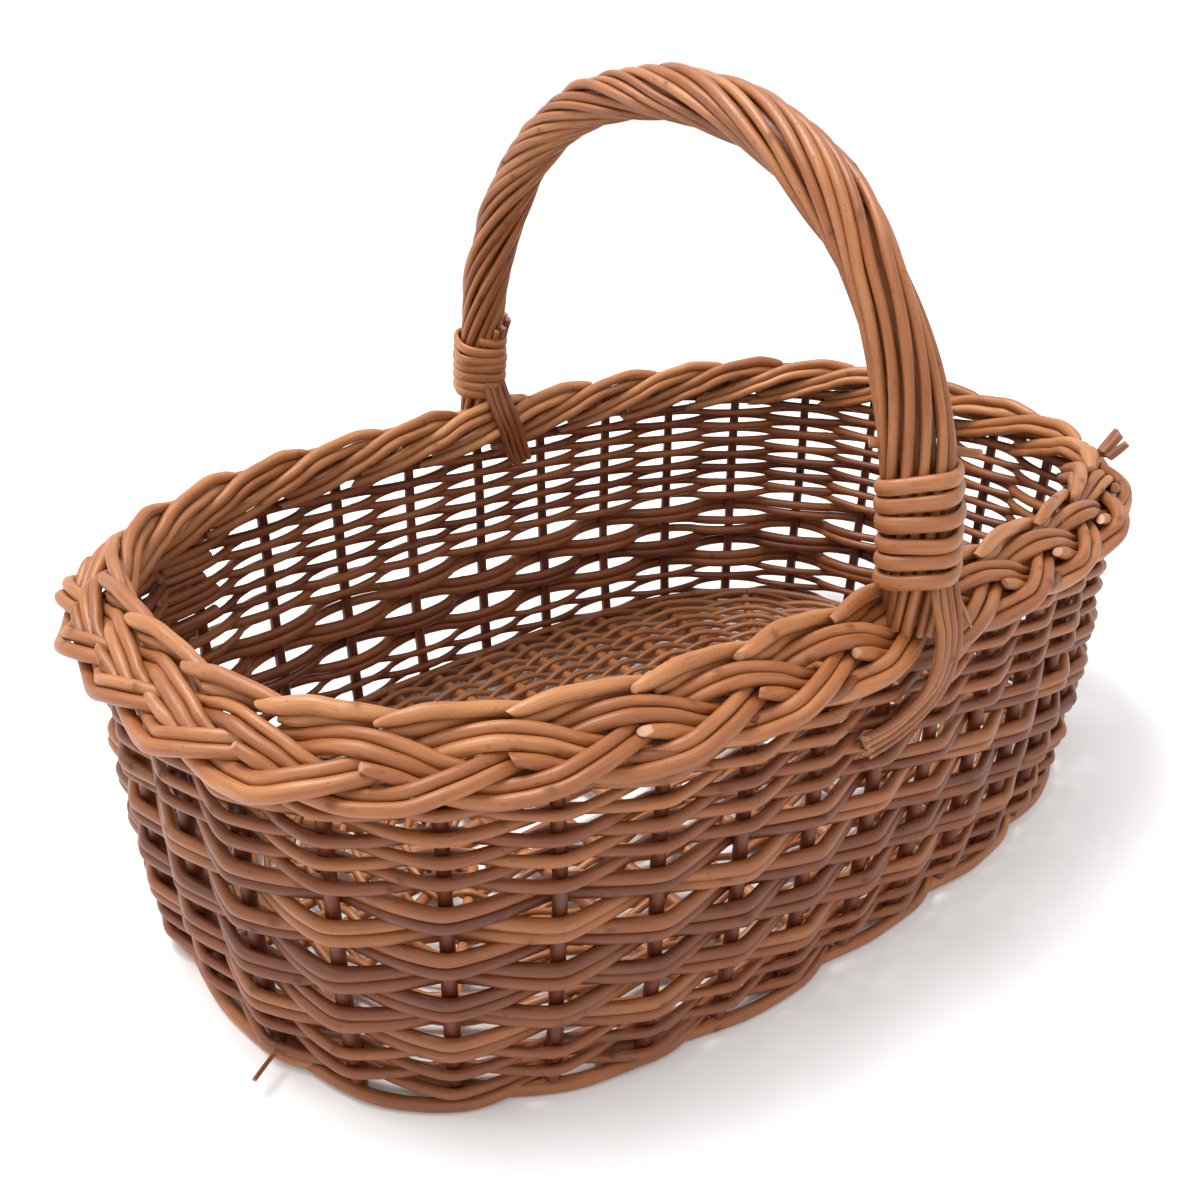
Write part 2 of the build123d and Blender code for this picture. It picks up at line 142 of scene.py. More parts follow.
def catmull(points, per_run=12):
    """A smooth line through given points."""
    p = np.asarray(points, float)
    p = np.concatenate([[2 * p[0] - p[1]], p, [2 * p[-1] - p[-2]]])
    t = np.linspace(0, 1, per_run, endpoint=False)[:, None]
    out = []
    for i in range(1, len(p) - 2):
        a, b, c, d = p[i - 1], p[i], p[i + 1], p[i + 2]
        square = (2 * a - 5 * b + 4 * c - d) * t ** 2
        cube = (3 * b - a - 3 * c + d) * t ** 3
        out.append(0.5 * (2 * b + (c - a) * t + square + cube))
    out.append(p[-2][None])
    return np.concatenate(out)


CAP_RING = 0.72        # the inner ring of a cut end, as a share of its rim
CAP_BULGE = 0.06       # how far a cut end bulges, as a share of the radius


class Rods:
    """Collects willow rods and turns them into one mesh."""

    def __init__(self):
        self.verts = []
        self.faces = []
        self.fibre = []
        self.tone = []
        self.scar = []
        self.cut = []
        self.count = 0

    def add(self, points, radius, sides=10, step=1.8 * MM, flatten=1.0, facing=None, tone=None, scars=1.0,
            end_slant=0.35, dent=0.03, rounded=(0.0, 0.0)):
        """One rod. radius is one number, or numbers spread evenly from its first end to its last.

        facing gives the direction in which the rod is flattened, at points spread evenly along it. rounded says
        how much each end is drawn in, as a share of the radius.
        """
        line = resample(points, step)
        count = len(line)
        radii = np.interp(np.linspace(0, 1, count), np.linspace(0, 1, np.size(radius)), np.ravel(radius))
        run = np.concatenate([[0], np.cumsum(np.linalg.norm(np.diff(line, axis=0), axis=1))])
        along = np.gradient(line, axis=0)
        along /= np.linalg.norm(along, axis=1, keepdims=True) + 1e-12
        normals = np.zeros_like(line)
        if facing is None:
            start = np.array([0, 0, 1.0]) if abs(along[0][2]) < 0.9 else np.array([1.0, 0, 0])
            normal = start - along[0] * np.dot(start, along[0])
            normal /= np.linalg.norm(normal)
            for i in range(count):
                normal = normal - along[i] * np.dot(normal, along[i])
                normal /= np.linalg.norm(normal) + 1e-12
                normals[i] = normal
        else:
            given = np.linspace(0, 1, len(facing))
            at = np.linspace(0, 1, count)
            for i in range(3):
                normals[:, i] = np.interp(at, given, facing[:, i])
            normals -= along * np.sum(normals * along, axis=1, keepdims=True)
            normals /= np.linalg.norm(normals, axis=1, keepdims=True) + 1e-12
        aside = np.cross(along, normals)
        turn = np.linspace(0, 2 * math.pi, sides, endpoint=False)
        spin = rng.uniform(0, 6.28) if facing is None else 0.0
        angle = turn[None, :] + spin
        # slow swelling, one-sided dents and bud scars
        swell = 1 + smooth_noise(count, run[-1] / (14 * MM), dent)[:, None]
        oval = 1 + 0.035 * np.cos(2 * angle + smooth_noise(count, run[-1] / (40 * MM), 1.5)[:, None])
        from_end = np.stack([run, run[-1] - run])
        for distance, amount in zip(from_end, rounded):
            near = np.clip(1 - distance / (1.6 * radii), 0, 1)
            radii = radii * (1 - amount * near ** 2)
        r = radii[:, None] * swell * oval
        scar = np.zeros((count, sides))
        place = rng.uniform(4, 40) * MM
        bud = rng.uniform(0, 6.28)
        while place < run[-1] and scars > 0:
            if rng.random() < scars:
                across = (angle - bud + math.pi) % (2 * math.pi) - math.pi
                bump = np.exp(-((run[:, None] - place) / (1.3 * MM)) ** 2) * np.exp(-(across / 0.55) ** 2)
                r = r + bump * rng.uniform(0.10, 0.32) * MM
                scar = np.maximum(scar, bump)
            place += rng.uniform(24, 62) * MM
            bud += 2.4 + rng.normal(0, 0.3)
        ring = normals[:, None] * np.cos(angle)[..., None] * flatten + aside[:, None] * np.sin(angle)[..., None]
        verts = line[:, None] + ring * r[..., None]
        # slanted cuts at the two ends
        for end in (0, -1):
            lean = rng.uniform(-1, 1, 2) * end_slant
            push = (np.cos(angle[0]) * lean[0] + np.sin(angle[0]) * lean[1]) * radii[end]
            verts[end] += along[end] * push[:, None]
        base = self.count
        grid = base + np.arange(count * sides).reshape(count, sides)
        a = grid[:-1]
        b = np.roll(grid[:-1], -1, axis=1)
        c = np.roll(grid[1:], -1, axis=1)
        d = grid[1:]
        self.faces.extend(np.stack([a, b, c, d], -1).reshape(-1, 4).tolist())
        self.verts.append(verts.reshape(-1, 3))
        offset = rng.uniform(0, 50, 3)
        fibre = np.stack([
            np.cos(angle) * r / (2 * MM) + offset[0],
            np.sin(angle) * r / (2 * MM) + offset[1],
            np.broadcast_to(run[:, None] / (2 * MM) + offset[2] * 10, r.shape),
        ], -1)
        own_tone = rng.random() if tone is None else float(np.clip(tone + rng.normal(0, 0.12), 0, 1))
        self.fibre.append(fibre.reshape(-1, 3))
        self.tone.append(np.full(count * sides, own_tone))
        self.scar.append(scar.reshape(-1))
        self.cut.append(np.zeros(count * sides))
        self.count += count * sides
        for end, flip in ((0, True), (-1, False)):
            rim = verts[end]
            middle = rim.mean(0)
            inner_ring = middle + (rim - middle) * CAP_RING
            start_index = self.count
            cap = np.concatenate([rim, inner_ring, middle[None]])
            bulge = along[end] * (-1 if flip else 1) * radii[end] * CAP_BULGE
            cap[sides:] += bulge
            self.verts.append(cap)
            self.fibre.append(np.concatenate([fibre[end], fibre[end], fibre[end].mean(0)[None]]))
            self.tone.append(np.full(2 * sides + 1, own_tone))
            self.scar.append(np.zeros(2 * sides + 1))
            self.cut.append(np.concatenate([np.full(sides, 0.5), np.ones(sides + 1)]))
            for i in range(sides):
                j = (i + 1) % sides
                o0, o1 = start_index + i, start_index + j
                i0, i1 = start_index + sides + i, start_index + sides + j
                m = start_index + 2 * sides
                if flip:
                    self.faces.append([o0, i0, i1, o1])
                    self.faces.append([i0, m, i1])
                else:
                    self.faces.append([o0, o1, i1, i0])
                    self.faces.append([i0, i1, m])
            self.count += 2 * sides + 1
        return self

    def build(self, name, nodes, slot, material):
        """Makes the mesh, which stands in for the given nodes."""
        mesh = bpy.data.meshes.new(name)
        verts = np.concatenate(self.verts)
        mesh.from_pydata(verts.tolist(), [], self.faces)
        mesh.validate()
        for key, kind, values in (("fibre", "FLOAT_VECTOR", self.fibre), ("tone", "FLOAT", self.tone),
                                  ("scar", "FLOAT", self.scar), ("cut", "FLOAT", self.cut)):
            data = mesh.attributes.new(key, kind, "POINT")
            flat = np.concatenate(values).astype(np.float32).ravel()
            data.data.foreach_set("vector" if kind == "FLOAT_VECTOR" else "value", flat)
        mesh.polygons.foreach_set("use_smooth", np.ones(len(mesh.polygons), bool))
        weld_caps(mesh)
        obj = bpy.data.objects.new(name, mesh)
        bpy.context.scene.collection.objects.link(obj)
        mesh.materials.append(material)
        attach(obj, "root")
        if nodes:
            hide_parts(*nodes)
        return obj


WELD_DISTANCE = 1e-7
SHARP_ANGLE = math.radians(50)


def weld_caps(mesh):
    """Joins each cap to its rod and marks the rim as a sharp edge."""
    bm = bmesh.new()
    bm.from_mesh(mesh)
    bmesh.ops.remove_doubles(bm, verts=bm.verts, dist=WELD_DISTANCE)
    for edge in bm.edges:
        if len(edge.link_faces) == 2 and edge.calc_face_angle(0) > SHARP_ANGLE:
            edge.smooth = False
    bm.to_mesh(mesh)
    bm.free()


# ---------------------------------------------------------------- materials

ROUGHNESS = 0.42
SPECK = 0.4            # how strongly the small dark specks show
BUMP_DISTANCE = 0.00035


def willow(name, dark, mid, light):
    """Peeled, boiled willow: long fibres, tone that varies from rod to rod, bud scars and pale cut ends."""
    material = bpy.data.materials.new(name)
    material.use_nodes = True
    tree = material.node_tree
    nodes = tree.nodes
    nodes.clear()
    link = tree.links.new
    out = nodes.new("ShaderNodeOutputMaterial")
    shader = nodes.new("ShaderNodeBsdfPrincipled")
    link(shader.outputs["BSDF"], out.inputs["Surface"])
    shader.inputs["IOR"].default_value = 1.5
    shader.inputs["Specular IOR Level"].default_value = 0.5

    def attribute(key):
        node = nodes.new("ShaderNodeAttribute")
        node.attribute_name = key
        return node

    def noise(vector, scale, detail, stretch, rough=0.6):
        mapping = nodes.new("ShaderNodeMapping")
        mapping.inputs["Scale"].default_value = stretch
        link(vector, mapping.inputs["Vector"])
        node = nodes.new("ShaderNodeTexNoise")
        node.inputs["Scale"].default_value = scale
        node.inputs["Detail"].default_value = detail
        node.inputs["Roughness"].default_value = rough
        link(mapping.outputs["Vector"], node.inputs["Vector"])
        return node.outputs["Fac"]

    def math_node(kind, a, b=None, clamp=False):
        node = nodes.new("ShaderNodeMath")
        node.operation = kind
        node.use_clamp = clamp
        for socket, value in zip(node.inputs, (a, b)):
            if value is None:
                continue
            if isinstance(value, (int, float)):
                socket.default_value = value
            else:
                link(value, socket)
        return node.outputs[0]

    def mix(fac, a, b, blend="MIX"):
        node = nodes.new("ShaderNodeMix")
        node.data_type = "RGBA"
        node.blend_type = blend
        for socket, value in ((node.inputs["Factor"], fac), (node.inputs[6], a), (node.inputs[7], b)):
            if isinstance(value, (int, float)):
                socket.default_value = value
            elif isinstance(value, tuple):
                socket.default_value = (*value, 1)
            else:
                link(value, socket)
        return node.outputs[2]

    def ramp(fac, stops):
        node = nodes.new("ShaderNodeValToRGB")
        elements = node.color_ramp.elements
        while len(elements) < len(stops):
            elements.new(0.5)
        for element, (at, value) in zip(elements, stops):
            element.position = at
            element.color = (*value, 1) if isinstance(value, tuple) else (value, value, value, 1)
        link(fac, node.inputs["Fac"])
        return node.outputs["Color"]

    fibre = attribute("fibre").outputs["Vector"]
    tone = attribute("tone").outputs["Fac"]
    scar = attribute("scar").outputs["Fac"]
    cut = attribute("cut").outputs["Fac"]
    fine = noise(fibre, 3.2, 4, (1.0, 1.0, 0.06))
    broad = noise(fibre, 0.55, 3, (1.0, 1.0, 0.10))
    patch = noise(fibre, 0.16, 2, (1.0, 1.0, 0.35))
    specks = noise(fibre, 1.9, 2, (1.0, 1.0, 0.45), 0.5)

    shade = math_node("MULTIPLY", tone, 0.55)
    shade = math_node("ADD", shade, math_node("MULTIPLY", broad, 0.55))
    shade = math_node("ADD", shade, math_node("MULTIPLY", patch, 0.35))
    shade = math_node("SUBTRACT", shade, 0.24, True)
    colour = ramp(shade, [(0.0, dark), (0.5, mid), (1.0, light)])
    streak = ramp(fine, [(0.25, 0.80), (0.75, 1.12)])
    colour = mix(1.0, colour, streak, "MULTIPLY")
    spot = ramp(specks, [(0.65, 0.0), (0.73, 1.0)])
    colour = mix(math_node("MULTIPLY", spot, SPECK), colour, tuple(0.42 * v for v in dark))
    colour = mix(math_node("MULTIPLY", scar, 0.75), colour, tuple(0.35 * v for v in dark))
    pale = tuple(min(1.0, 0.72 * v + 0.10) for v in light)
    colour = mix(math_node("MULTIPLY", cut, 0.8), colour, pale)
    link(colour, shader.inputs["Base Color"])
    gloss = ramp(fine, [(0.2, ROUGHNESS - 0.08), (0.8, ROUGHNESS + 0.10)])
    gloss = mix(scar, gloss, (0.8, 0.8, 0.8))
    link(gloss, shader.inputs["Roughness"])
    height = math_node("ADD", math_node("MULTIPLY", fine, 0.6), math_node("MULTIPLY", broad, 0.5))
    height = math_node("SUBTRACT", height, math_node("MULTIPLY", spot, 0.4))
    bump = nodes.new("ShaderNodeBump")
    bump.inputs["Strength"].default_value = 0.5
    bump.inputs["Distance"].default_value = BUMP_DISTANCE
    link(height, bump.inputs["Height"])
    link(bump.outputs["Normal"], shader.inputs["Normal"])
    return material


# The darkest, middle and lightest tone of each kind of rod. The rods are one willow: the wall and stake tones are
# darkened as painted shade, and the base tones are lightened as painted light.
BORDER_WILLOW = willow("border_willow", (0.120, 0.028, 0.006), (0.310, 0.100, 0.027), (0.620, 0.290, 0.110))
# painted shade: the wall's willow tones are darker than the border's
WALL_WILLOW_PAINTED_SHADE = willow("wall_willow_painted_shade", (0.088, 0.017, 0.004), (0.215, 0.058, 0.014), (0.400, 0.145, 0.044))
# painted shade: the stakes' willow tones are the darkest, for the shade in the gaps between the weavers
STAKE_WILLOW_PAINTED_SHADE = willow("stake_willow_painted_shade", (0.060, 0.011, 0.003), (0.130, 0.027, 0.007), (0.220, 0.060, 0.017))
HANDLE_WILLOW = willow("handle_willow", (0.110, 0.025, 0.006), (0.280, 0.088, 0.024), (0.560, 0.245, 0.090))
# painted light: the base's willow tones are lighter than the border's, for the lit floor seen through the gaps in the
# wall
BASE_WILLOW_PAINTED_LIGHT = willow("base_willow_painted_light", (0.160, 0.038, 0.010), (0.350, 0.120, 0.036), (0.540, 0.240, 0.095))


# ---------------------------------------------------------------- wall

WALE_Z = 8.2 * MM
WALE_PITCH = 4.4 * MM
WALE_ROWS = 4
SLEW_Z = 28.2 * MM
SLEW_PITCH = {"front": 8.3 * MM, "back": 9.3 * MM}
SLEW_ROWS = {"front": 7, "back": 4}
SLEW_RADIUS = 2.0 * MM
SLEW_SWELL = {"front": 1.06, "back": 1.08}
SLEW_HALF_GAP = 1.02   # from a row's middle to each of its two rods, in rod radii
WALE_RADIUS = 1.75 * MM
RAND_RADIUS = 1.62 * MM
RAND_SWELL = {"front": 1.12, "back": 1.14}
RAND_TOP = 112.9 * MM
RAND_PITCH = 3.6 * MM
RAND_GAP = 4.1 * MM
JOIN_OVERLAP = 0.75
CAD_SLEW_RADIUS = 1.95 * MM
CAD_RAND_RADIUS = 1.6 * MM
ROWS_PER_PIECE = 3
EXTRA_TOP_ROWS = 2     # rows right under the border, which the CAD has not


def weaver_line(side, z, radius, parity, wander=0.35 * MM):
    """A weaver outside one stake and inside the next."""
    if side == "front":
        first = LEFT_JOIN - JOIN_OVERLAP * rng.uniform(0.3, 1)
        last = RIGHT_JOIN + JOIN_OVERLAP * rng.uniform(0.3, 1)
    else:
        first = RIGHT_JOIN - STAKE_COUNT - JOIN_OVERLAP * rng.uniform(0.0, 0.5)
        last = LEFT_JOIN + JOIN_OVERLAP * rng.uniform(0.0, 0.5)
    count = int((last - first) * 18)
    place = np.linspace(first, last, count)
    wave = np.cos(math.pi * (place - STAKE_PHASE - parity))
    if side == "front":
        wave = np.arcsin(0.97 * wave) / math.asin(0.97)
    else:
        wave = np.sign(wave) * np.abs(wave) ** 0.72
    offset = wave * (STAKE_RADIUS + radius) + smooth_noise(count, (last - first), 0.25 * MM)
    height = z + smooth_noise(count, (last - first) * 0.8, wander)
    return on_wall(place, offset, height)


def build_wall():
    for side in ("front", "back"):
        rods = Rods()
        for row in range(WALE_ROWS):
            z = WALE_Z + row * WALE_PITCH
            line = weaver_line(side, z, WALE_RADIUS, row % 2, wander=0.5 * MM)
            rods.add(line, [WALE_RADIUS * 1.05, WALE_RADIUS * 0.85], tone=0.45)
        rods.build("wale_rods_" + side, ["upsett_wale_" + side], "willow_weave", WALL_WILLOW_PAINTED_SHADE)
        pitch = SLEW_PITCH[side]
        for row in range(SLEW_ROWS[side]):
            rods = Rods()
            z = SLEW_Z + row * pitch
            for half in (-1, 1):
                radius = SLEW_RADIUS * SLEW_SWELL[side] * rng.uniform(0.92, 1.1)
                line = weaver_line(side, z + half * SLEW_RADIUS * SLEW_HALF_GAP, radius, row % 2)
                ends = [1.12, 0.86] if rng.random() < 0.5 else [0.86, 1.12]
                rods.add(line, [radius * ends[0], radius, radius * ends[1]])
            number = "%s_%d" % (side, row + 1)
            rods.build("slew_rods_" + number, ["slew_" + number], "willow_weave", WALL_WILLOW_PAINTED_SHADE)
        first = SLEW_Z + (SLEW_ROWS[side] - 1) * pitch + RAND_GAP + CAD_SLEW_RADIUS + CAD_RAND_RADIUS
        gaps = math.floor((RAND_TOP - first) / RAND_PITCH)
        levels = [first + (RAND_TOP - first) * i / gaps for i in range(gaps + 1)]
        last_group = ROWS_PER_PIECE * ((len(levels) - 1) // ROWS_PER_PIECE)
        levels += [RAND_TOP + (i + 1) * RAND_PITCH for i in range(EXTRA_TOP_ROWS)]
        for group in range(0, last_group + 1, ROWS_PER_PIECE):
            rods = Rods()
            rows = levels[group:] if group == last_group else levels[group:group + ROWS_PER_PIECE]
            for i, z in enumerate(rows):
                radius = RAND_RADIUS * RAND_SWELL[side] * rng.uniform(0.92, 1.08)
                line = weaver_line(side, z, radius, (SLEW_ROWS[side] + group + i) % 2, wander=0.3 * MM)
                ends = [1.1, 0.85] if rng.random() < 0.5 else [0.85, 1.1]
                rods.add(line, [radius * ends[0], radius, radius * ends[1]])
            number = "%s_%d" % (side, group // ROWS_PER_PIECE + 1)
            rods.build("randing_rods_" + number, ["randing_" + number], "willow_weave", WALL_WILLOW_PAINTED_SHADE)


STAKE_FOOT_Z = 2.5 * MM
STAKE_TOP_Z = 121 * MM
END_SHARE = 0.86       # stakes beyond this share of the half length belong to the basket's ends


def build_stakes():
    groups = {"stakes_back": Rods(), "stakes_front": Rods(), "stakes_left": Rods(), "stakes_right": Rods()}
    for k in range(STAKE_COUNT):
        place = k + STAKE_PHASE
        point, _ = outline(STAKE_HALF_LENGTH, STAKE_HALF_WIDTH, stake_share(place))
        z = np.linspace(STAKE_FOOT_Z, STAKE_TOP_Z, 30)
        lean = smooth_noise(30, 4, 0.012)
        line = on_wall(place + lean, smooth_noise(30, 4, 0.2 * MM), z)
        if abs(point[0]) > END_SHARE * STAKE_HALF_LENGTH:
            name = "stakes_right" if point[0] > 0 else "stakes_left"
        else:
            name = "stakes_back" if point[1] > 0 else "stakes_front"
        groups[name].add(line, [STAKE_RADIUS * 1.1, STAKE_RADIUS, STAKE_RADIUS * 0.95])
    for name, rods in groups.items():
        rods.build(name + "_rods", [name], "willow_stake", STAKE_WILLOW_PAINTED_SHADE)


# ---------------------------------------------------------------- border

def on_border(unit, sideways, lift):
    """A place in the border's tilted section: sideways runs outward and down, lift outward and up."""
    share = np.asarray(unit, float) / BORDER_UNITS
    point, outward = outline(BORDER_HALF_LENGTH, BORDER_HALF_WIDTH, share)
    reach = sideways * math.cos(BORDER_TILT) + lift * math.sin(BORDER_TILT)
    rise = -sideways * math.sin(BORDER_TILT) + lift * math.cos(BORDER_TILT)
    flat = point + outward * reach[..., None]
    return np.concatenate([flat, (BORDER_Z + rise)[..., None]], -1)


PLAIT_REACH = 6.9 * MM
PLAIT_LIFT = 3.3 * MM
PLAIT_SHIFT = 1.6 * MM
PLAIT_LANE = 4.25 * MM
PLAIT_RADIUS = 2.15 * MM
BORDER_UNIT_LENGTH = 38 * MM


def plait_rod_line(start_unit, samples=110):
    """A rod that begins as a thick cut end in the outer lane and drifts inward over two turns of the plait."""
    turns = np.linspace(-0.13, 2.12, samples)
    unit = start_unit + 3 * turns
    phase = 2 * math.pi * turns
    slope = PLAIT_REACH * np.cos(phase) * 2 * math.pi / (3 * BORDER_UNIT_LENGTH)
    lane = (1 - turns) * PLAIT_LANE + smooth_noise(samples, 8, 0.2 * MM)
    sideways = PLAIT_SHIFT + PLAIT_REACH * np.sin(phase) + lane * np.sqrt(1 + slope ** 2)
    lift = -PLAIT_LIFT * np.sin(2 * phase) + smooth_noise(samples, 8, 0.2 * MM)
    return unit, sideways, lift


RELAX_CELL = 9 * MM
RELAX_REACH = 8 * MM   # rods further apart than this at the start are never pushed apart


def relax(lines, radii, rounds=40, stiffness=0.35):
    """Pushes rods that run into each other apart and keeps each one smooth."""
    index = np.concatenate([np.full(len(line), i) for i, line in enumerate(lines)])
    points = np.concatenate(lines)
    home = points.copy()
    radius = np.concatenate(radii)
    cell = RELAX_CELL
    keys = np.floor(points / cell).astype(np.int64)
    buckets = {}
    for i, key in enumerate(map(tuple, keys)):
        buckets.setdefault(key, []).append(i)
    pairs_a = []
    pairs_b = []
    steps = [(x, y, z) for x in (-1, 0, 1) for y in (-1, 0, 1) for z in (-1, 0, 1)]
    for key, members in buckets.items():
        near = [j for s in steps for j in buckets.get((key[0] + s[0], key[1] + s[1], key[2] + s[2]), ())]
        near = np.array(near)
        for i in members:
            others = near[(near > i) & (index[near] != index[i])]
            others = others[np.linalg.norm(home[others] - home[i], axis=1) < RELAX_REACH]
            pairs_a.append(np.full(len(others), i))
            pairs_b.append(others)
    a = np.concatenate(pairs_a)
    b = np.concatenate(pairs_b)
    ends = np.zeros(len(points), bool)
    starts = np.cumsum([0] + [len(p) for p in lines])
    ends[starts[:-1]] = True
    ends[starts[1:] - 1] = True
    inner = np.where(~ends)[0]
    for _ in range(rounds):
        gap = points[b] - points[a]
        apart = np.linalg.norm(gap, axis=1) + 1e-12
        want = radius[a] + radius[b]
        over = np.clip(want - apart, 0, None)
        hit = over > 0
        push = gap[hit] / apart[hit][:, None] * (over[hit] * 0.5)[:, None]
        move = np.zeros_like(points)
        weight = np.full(len(points), 1e-9)
        np.add.at(move, b[hit], push)
        np.add.at(move, a[hit], -push)
        np.add.at(weight, b[hit], 1)
        np.add.at(weight, a[hit], 1)
        points = points + move / np.sqrt(weight)[:, None] * 0.8
        smooth = points.copy()
        smooth[inner] = 0.5 * points[inner] + 0.25 * (points[inner - 1] + points[inner + 1])
        points = points + (smooth - points) * stiffness
    return [points[s:e] for s, e in zip(starts[:-1], starts[1:])]


# Course of a ridge rod in mm, from its cut end, and how much further in and down the second of a pair lies
RIDGE_KEYS = [0.0, 0.15, 0.38, 0.60, 0.80, 1.0]
RIDGE_REACH = [-6.6, -8.6, -10.8, -12.0, -11.4, -5.0]
RIDGE_RISE = [8.6, 10.4, 9.2, 3.4, -3.0, -9.0]
SECOND_RIDGE_REACH = [0.4, 1.2, 2.2, 1.4, 0.4, 0.0]
SECOND_RIDGE_DROP = [2.6, 3.8, 3.8, 4.2, 3.6, 2.5]
RIDGE_RADIUS = (2.45, 2.1)
RIDGE_UNITS = 2.35     # how many border units a ridge rod runs on


def ridge_rod(start_unit, lane, samples=64):
    """A rod that lies along the inner edge of the plait and then goes down inside it, under the next one."""
    t = np.linspace(0, 1, samples)
    reach = np.interp(t, RIDGE_KEYS, RIDGE_REACH)
    rise = np.interp(t, RIDGE_KEYS, RIDGE_RISE)
    if lane:
        reach = reach - np.interp(t, RIDGE_KEYS, SECOND_RIDGE_REACH)
        rise = rise - np.interp(t, RIDGE_KEYS, SECOND_RIDGE_DROP)
    kernel = np.hanning(11)
    kernel /= kernel.sum()
    reach = np.convolve(np.pad(reach, 5, mode="edge"), kernel, "valid")
    rise = np.convolve(np.pad(rise, 5, mode="edge"), kernel, "valid")
    share = (start_unit - 0.35 + 0.1 * lane + RIDGE_UNITS * t) / BORDER_UNITS
    point, outward = outline(BORDER_HALF_LENGTH, BORDER_HALF_WIDTH, share)
    flat = point + outward * (reach * MM)[:, None]
    line = np.concatenate([flat, (BORDER_Z + rise * MM)[:, None]], 1)
    size = RIDGE_RADIUS[lane] * MM * rng.uniform(0.93, 1.07)
    return line, np.interp(t, [0, 0.05, 0.13, 1], [0.62, 0.88, 1.0, 0.85]) * size


# A plait rod's thickness along it: a cut butt end, then a slow taper
PLAIT_TAPER_KEYS = [0, 0.03, 0.08, 0.25, 0.5, 1]
PLAIT_TAPER = [0.86, 1.08, 1.14, 1.06, 1.0, 0.9]


def build_border():
    """Plait rods and ridge rods, pushed clear of each other together."""
    lines = []
    radii = []
    tones = []
    for k in range(BORDER_UNITS):
        unit, sideways, lift = plait_rod_line(k + rng.normal(0, 0.04))
        line = on_border(unit, sideways, lift)
        thick = np.interp(np.linspace(0, 1, len(line)), PLAIT_TAPER_KEYS, PLAIT_TAPER)
        lines.append(line)
        radii.append(thick * PLAIT_RADIUS * rng.uniform(0.93, 1.07))
        tones.append(0.6)
    for k in range(BORDER_UNITS):
        for lane in range(2):
            line, radius = ridge_rod(k + rng.normal(0, 0.05), lane)
            lines.append(line)
            radii.append(radius)
            tones.append(0.72)
    lines = relax(lines, radii)
    names = ["border_strand_%d_rods_%s" % (s, h) for s in (1, 2, 3) for h in "ab"]
    pieces = {name: Rods() for name in names}
    for i, (line, radius, tone) in enumerate(zip(lines, radii, tones)):
        pieces[names[i % len(names)]].add(line, radius, sides=12, step=1.5 * MM, tone=tone, end_slant=1.0,
                                          rounded=(0.14, 0.14))
    for name, rods in pieces.items():
        rods.build(name + "_willow", [name], "willow_border", BORDER_WILLOW)


# ---------------------------------------------------------------- foot and base

FOOT_RODS = 16
FOOT_RADIUS = 2.3 * MM
FOOT_LAP = 0.75        # how far each foot rod runs on past its own length at both ends, in stakes


def build_foot():
    """Rods that lap round the foot, with both ends tucked in."""
    groups = {"front": Rods(), "back": Rods()}
    length = STAKE_COUNT / FOOT_RODS
    for i in range(FOOT_RODS):
        start = i * length + rng.normal(0, 0.05)
        place = np.linspace(start - FOOT_LAP, start + length + FOOT_LAP, 60)
        t = np.linspace(0, 1, 60)
        offset = np.interp(t, [0, 0.22, 0.5, 0.8, 1], [-6.5, -1.2, 3.4, 3.0, -5.0]) * MM
        offset = np.convolve(np.pad(offset, 7, mode="edge"), np.hanning(15) / np.hanning(15).sum(), "valid")
        offset = offset + smooth_noise(60, 4, 0.5 * MM)
        z = np.interp(t, [0, 0.25, 0.75, 1], [4.4, 2.9, 2.7, 5.2]) * MM + smooth_noise(60, 4, 0.2 * MM)
        line = on_wall(place, offset, np.maximum(z, FOOT_RADIUS))
        side = "back" if line[30][1] > 0 else "front"
        groups[side].add(line, np.array([1.1, 1.0, 0.85]) * FOOT_RADIUS, tone=0.5)
    for side, rods in groups.items():
        rods.build("foot_rods_" + side, ["foot_border_" + side], "willow_border", BORDER_WILLOW)


BASE_Z = 7.4 * MM
FAN_HUB = 85 * MM


LONG_STICKS = 3
LONG_STICK_SPACING = 9 * MM
LONG_STICK_RADIUS = 1.9 * MM
CROSS_STICKS = 7
CROSS_STICK_SPACING = 25 * MM
CROSS_STICK_RADIUS = 2.7 * MM
FAN_ANGLES = (25, 50, 75)
FAN_START = 16 * MM
FAN_STICK_RADIUS = 2.3 * MM
STICK_INSET = 11 * MM  # from the stakes' centre line to the sticks' ends
BASE_ROUNDS = 22
BASE_PITCH = 4.4 * MM
BASE_INSET = 13 * MM
BASE_ROD_RADIUS = 1.45 * MM
BASE_WAVE = 3.2 * MM   # how far a round goes over and under the sticks
ROUND_SAMPLES = 1200
NEAREST_CROSSINGS = 11 * MM


def stick_end(x, y, dx, dy, inset):
    """Where a line from (x, y) towards (dx, dy) meets the outline, drawn in by the inset."""
    a = STAKE_HALF_LENGTH - inset
    b = STAKE_HALF_WIDTH - inset
    low, high = 0.0, 2 * a
    for _ in range(40):
        middle = (low + high) / 2
        if (abs(x + dx * middle) / a) ** OUTLINE_EXPONENT + (abs(y + dy * middle) / b) ** OUTLINE_EXPONENT < 1:
            low = middle
        else:
            high = middle
    return np.array([x + dx * low, y + dy * low])


